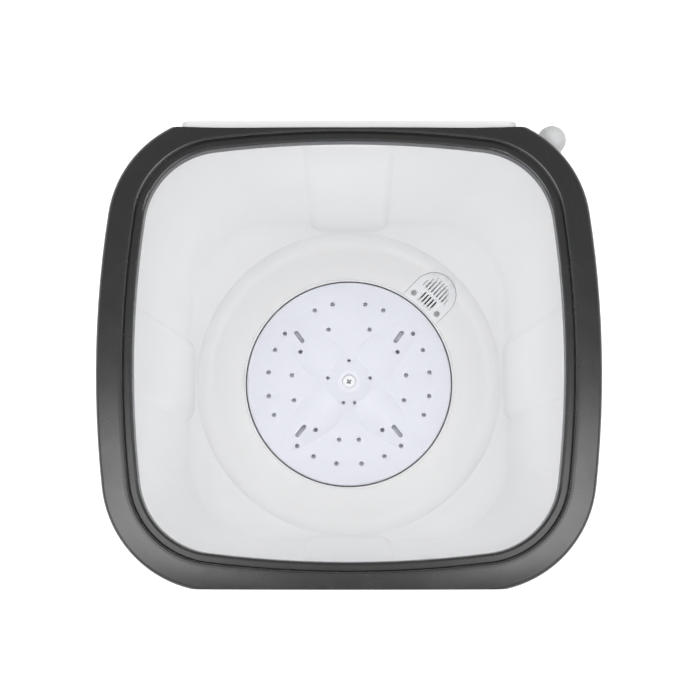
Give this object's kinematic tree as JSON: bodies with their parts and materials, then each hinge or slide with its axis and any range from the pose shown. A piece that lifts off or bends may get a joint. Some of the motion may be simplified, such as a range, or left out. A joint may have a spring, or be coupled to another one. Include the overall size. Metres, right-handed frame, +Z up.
{
  "type": "washing machine",
  "caption": "Portable pulsator washing machine, lid off: rounded square body, open tub, perforated pulsator, belt drive, control knobs, drain hose on the back corner.",
  "frame": {"origin": "on the floor, under the middle of the machine's outline, which is the pulsator's axis", "axes": "+Z up, -Y to the front (control panel), +Y to the back cover, +X to the right as seen from the front"},
  "size_m": [0.42, 0.394, 0.62],
  "materials": {
    "frame": "dark grey moulded plastic, soft gloss",
    "tub": "white moulded plastic",
    "pulsator": "bluish white moulded plastic",
    "screws": "zinc plated",
    "bright_steel": "bright turned steel",
    "bolts": "zinc plated, slightly dull",
    "seal_rubber": "black rubber",
    "housing_plastic": "glass filled plastic, natural",
    "bronze": "sintered bronze",
    "zinc_steel": "zinc coated sheet",
    "pulley_plastic": "natural white plastic",
    "pulley_metal": "cast and turned",
    "belt_rubber": "black rubber, cloth faced",
    "core_steel": "laminated steel",
    "copper": "varnished copper wire",
    "motor_cast": "pressed and cast light alloy",
    "fan_plastic": "black plastic",
    "mount_rubber": "black rubber",
    "hose": "flexible light grey plastic",
    "elbow_plastic": "light grey plastic",
    "cabinet": "white moulded plastic",
    "base": "dark grey plastic",
    "foot_rubber": "black rubber",
    "cover_white": "white moulded plastic",
    "switch_plastic": "ivory plastic",
    "knob": "dark grey plastic",
    "can": "drawn aluminium can"
  },
  "bodies": {
    "machine": {"top_frame": "frame", "frame_screws": "screws", "inner_tub": "tub", "water_seal": "seal_rubber", "bearing_housing": "housing_plastic", "upper_bush": "bronze", "lower_bush": "bronze", "hub_gasket": "seal_rubber", "drive_plate": "zinc_steel", "plate_bolts": "bolts", "housing_bolts": "bolts", "drive_belt": "belt_rubber", "stator_core": "core_steel", "motor_windings": "copper", "motor_top_cover": "motor_cast", "motor_bottom_cover": "motor_cast", "motor_bearings": "bright_steel", "motor_mounts": "mount_rubber", "motor_bolts": "bolts", "drain_filter_cover": "tub", "filter_cover_screws": "screws", "drain_sump": "tub", "inner_drain_hose": "hose", "outlet_elbow": "elbow_plastic", "drain_hose": "hose", "hose_clamps": "zinc_steel", "hose_clips": "cabinet", "hose_end_elbow": "elbow_plastic", "hose_parking_peg": "cabinet", "outer_cabinet": "cabinet", "base_frame": "base", "base_screws": "screws", "feet": "foot_rubber", "foot_screws": "screws", "cord_grommet": "foot_rubber", "back_cover": "cover_white", "back_cover_screws": "screws", "control_panel": "frame", "panel_screws": "screws", "timer_body": "switch_plastic", "selector_switch": "switch_plastic", "control_screws": "screws", "capacitor": "can", "capacitor_clamp": "zinc_steel"},
    "pulsator": {"pulsator": "pulsator", "pulsator_screw": "bright_steel", "pulsator_shaft": "bright_steel", "large_pulley": "pulley_plastic", "pulley_nut": "bolts"},
    "rotor": {"motor_rotor": "core_steel", "motor_shaft": "bright_steel", "motor_pulley": "pulley_metal", "motor_fan": "fan_plastic"},
    "timer": {"timer_knob": "knob", "timer_shaft": "bright_steel"},
    "selector": {"selector_knob": "knob", "selector_shaft": "bright_steel"}
  },
  "joints": [
    {"name": "pulsator_spin", "type": "hinge", "parent": "machine", "child": "pulsator", "pos_m": [0, 0, 0.3], "axis": [0, 0, 1], "continuous": true},
    {"name": "motor_spin", "type": "hinge", "parent": "machine", "child": "rotor", "pos_m": [-0.09546, 0.09546, 0.2], "axis": [0, 0, 1], "continuous": true},
    {"name": "timer_turn", "type": "hinge", "parent": "machine", "child": "timer", "pos_m": [-0.042, -0.19, 0.212], "axis": [0, 1, 0], "range_deg": [0, 300]},
    {"name": "selector_turn", "type": "hinge", "parent": "machine", "child": "selector", "pos_m": [0.046, -0.19, 0.212], "axis": [0, 1, 0], "range_deg": [0, 90]}
  ],
  "couplings": [
    {"joint": "motor_spin", "follows": "pulsator_spin", "ratio": 3.8333}
  ]
}
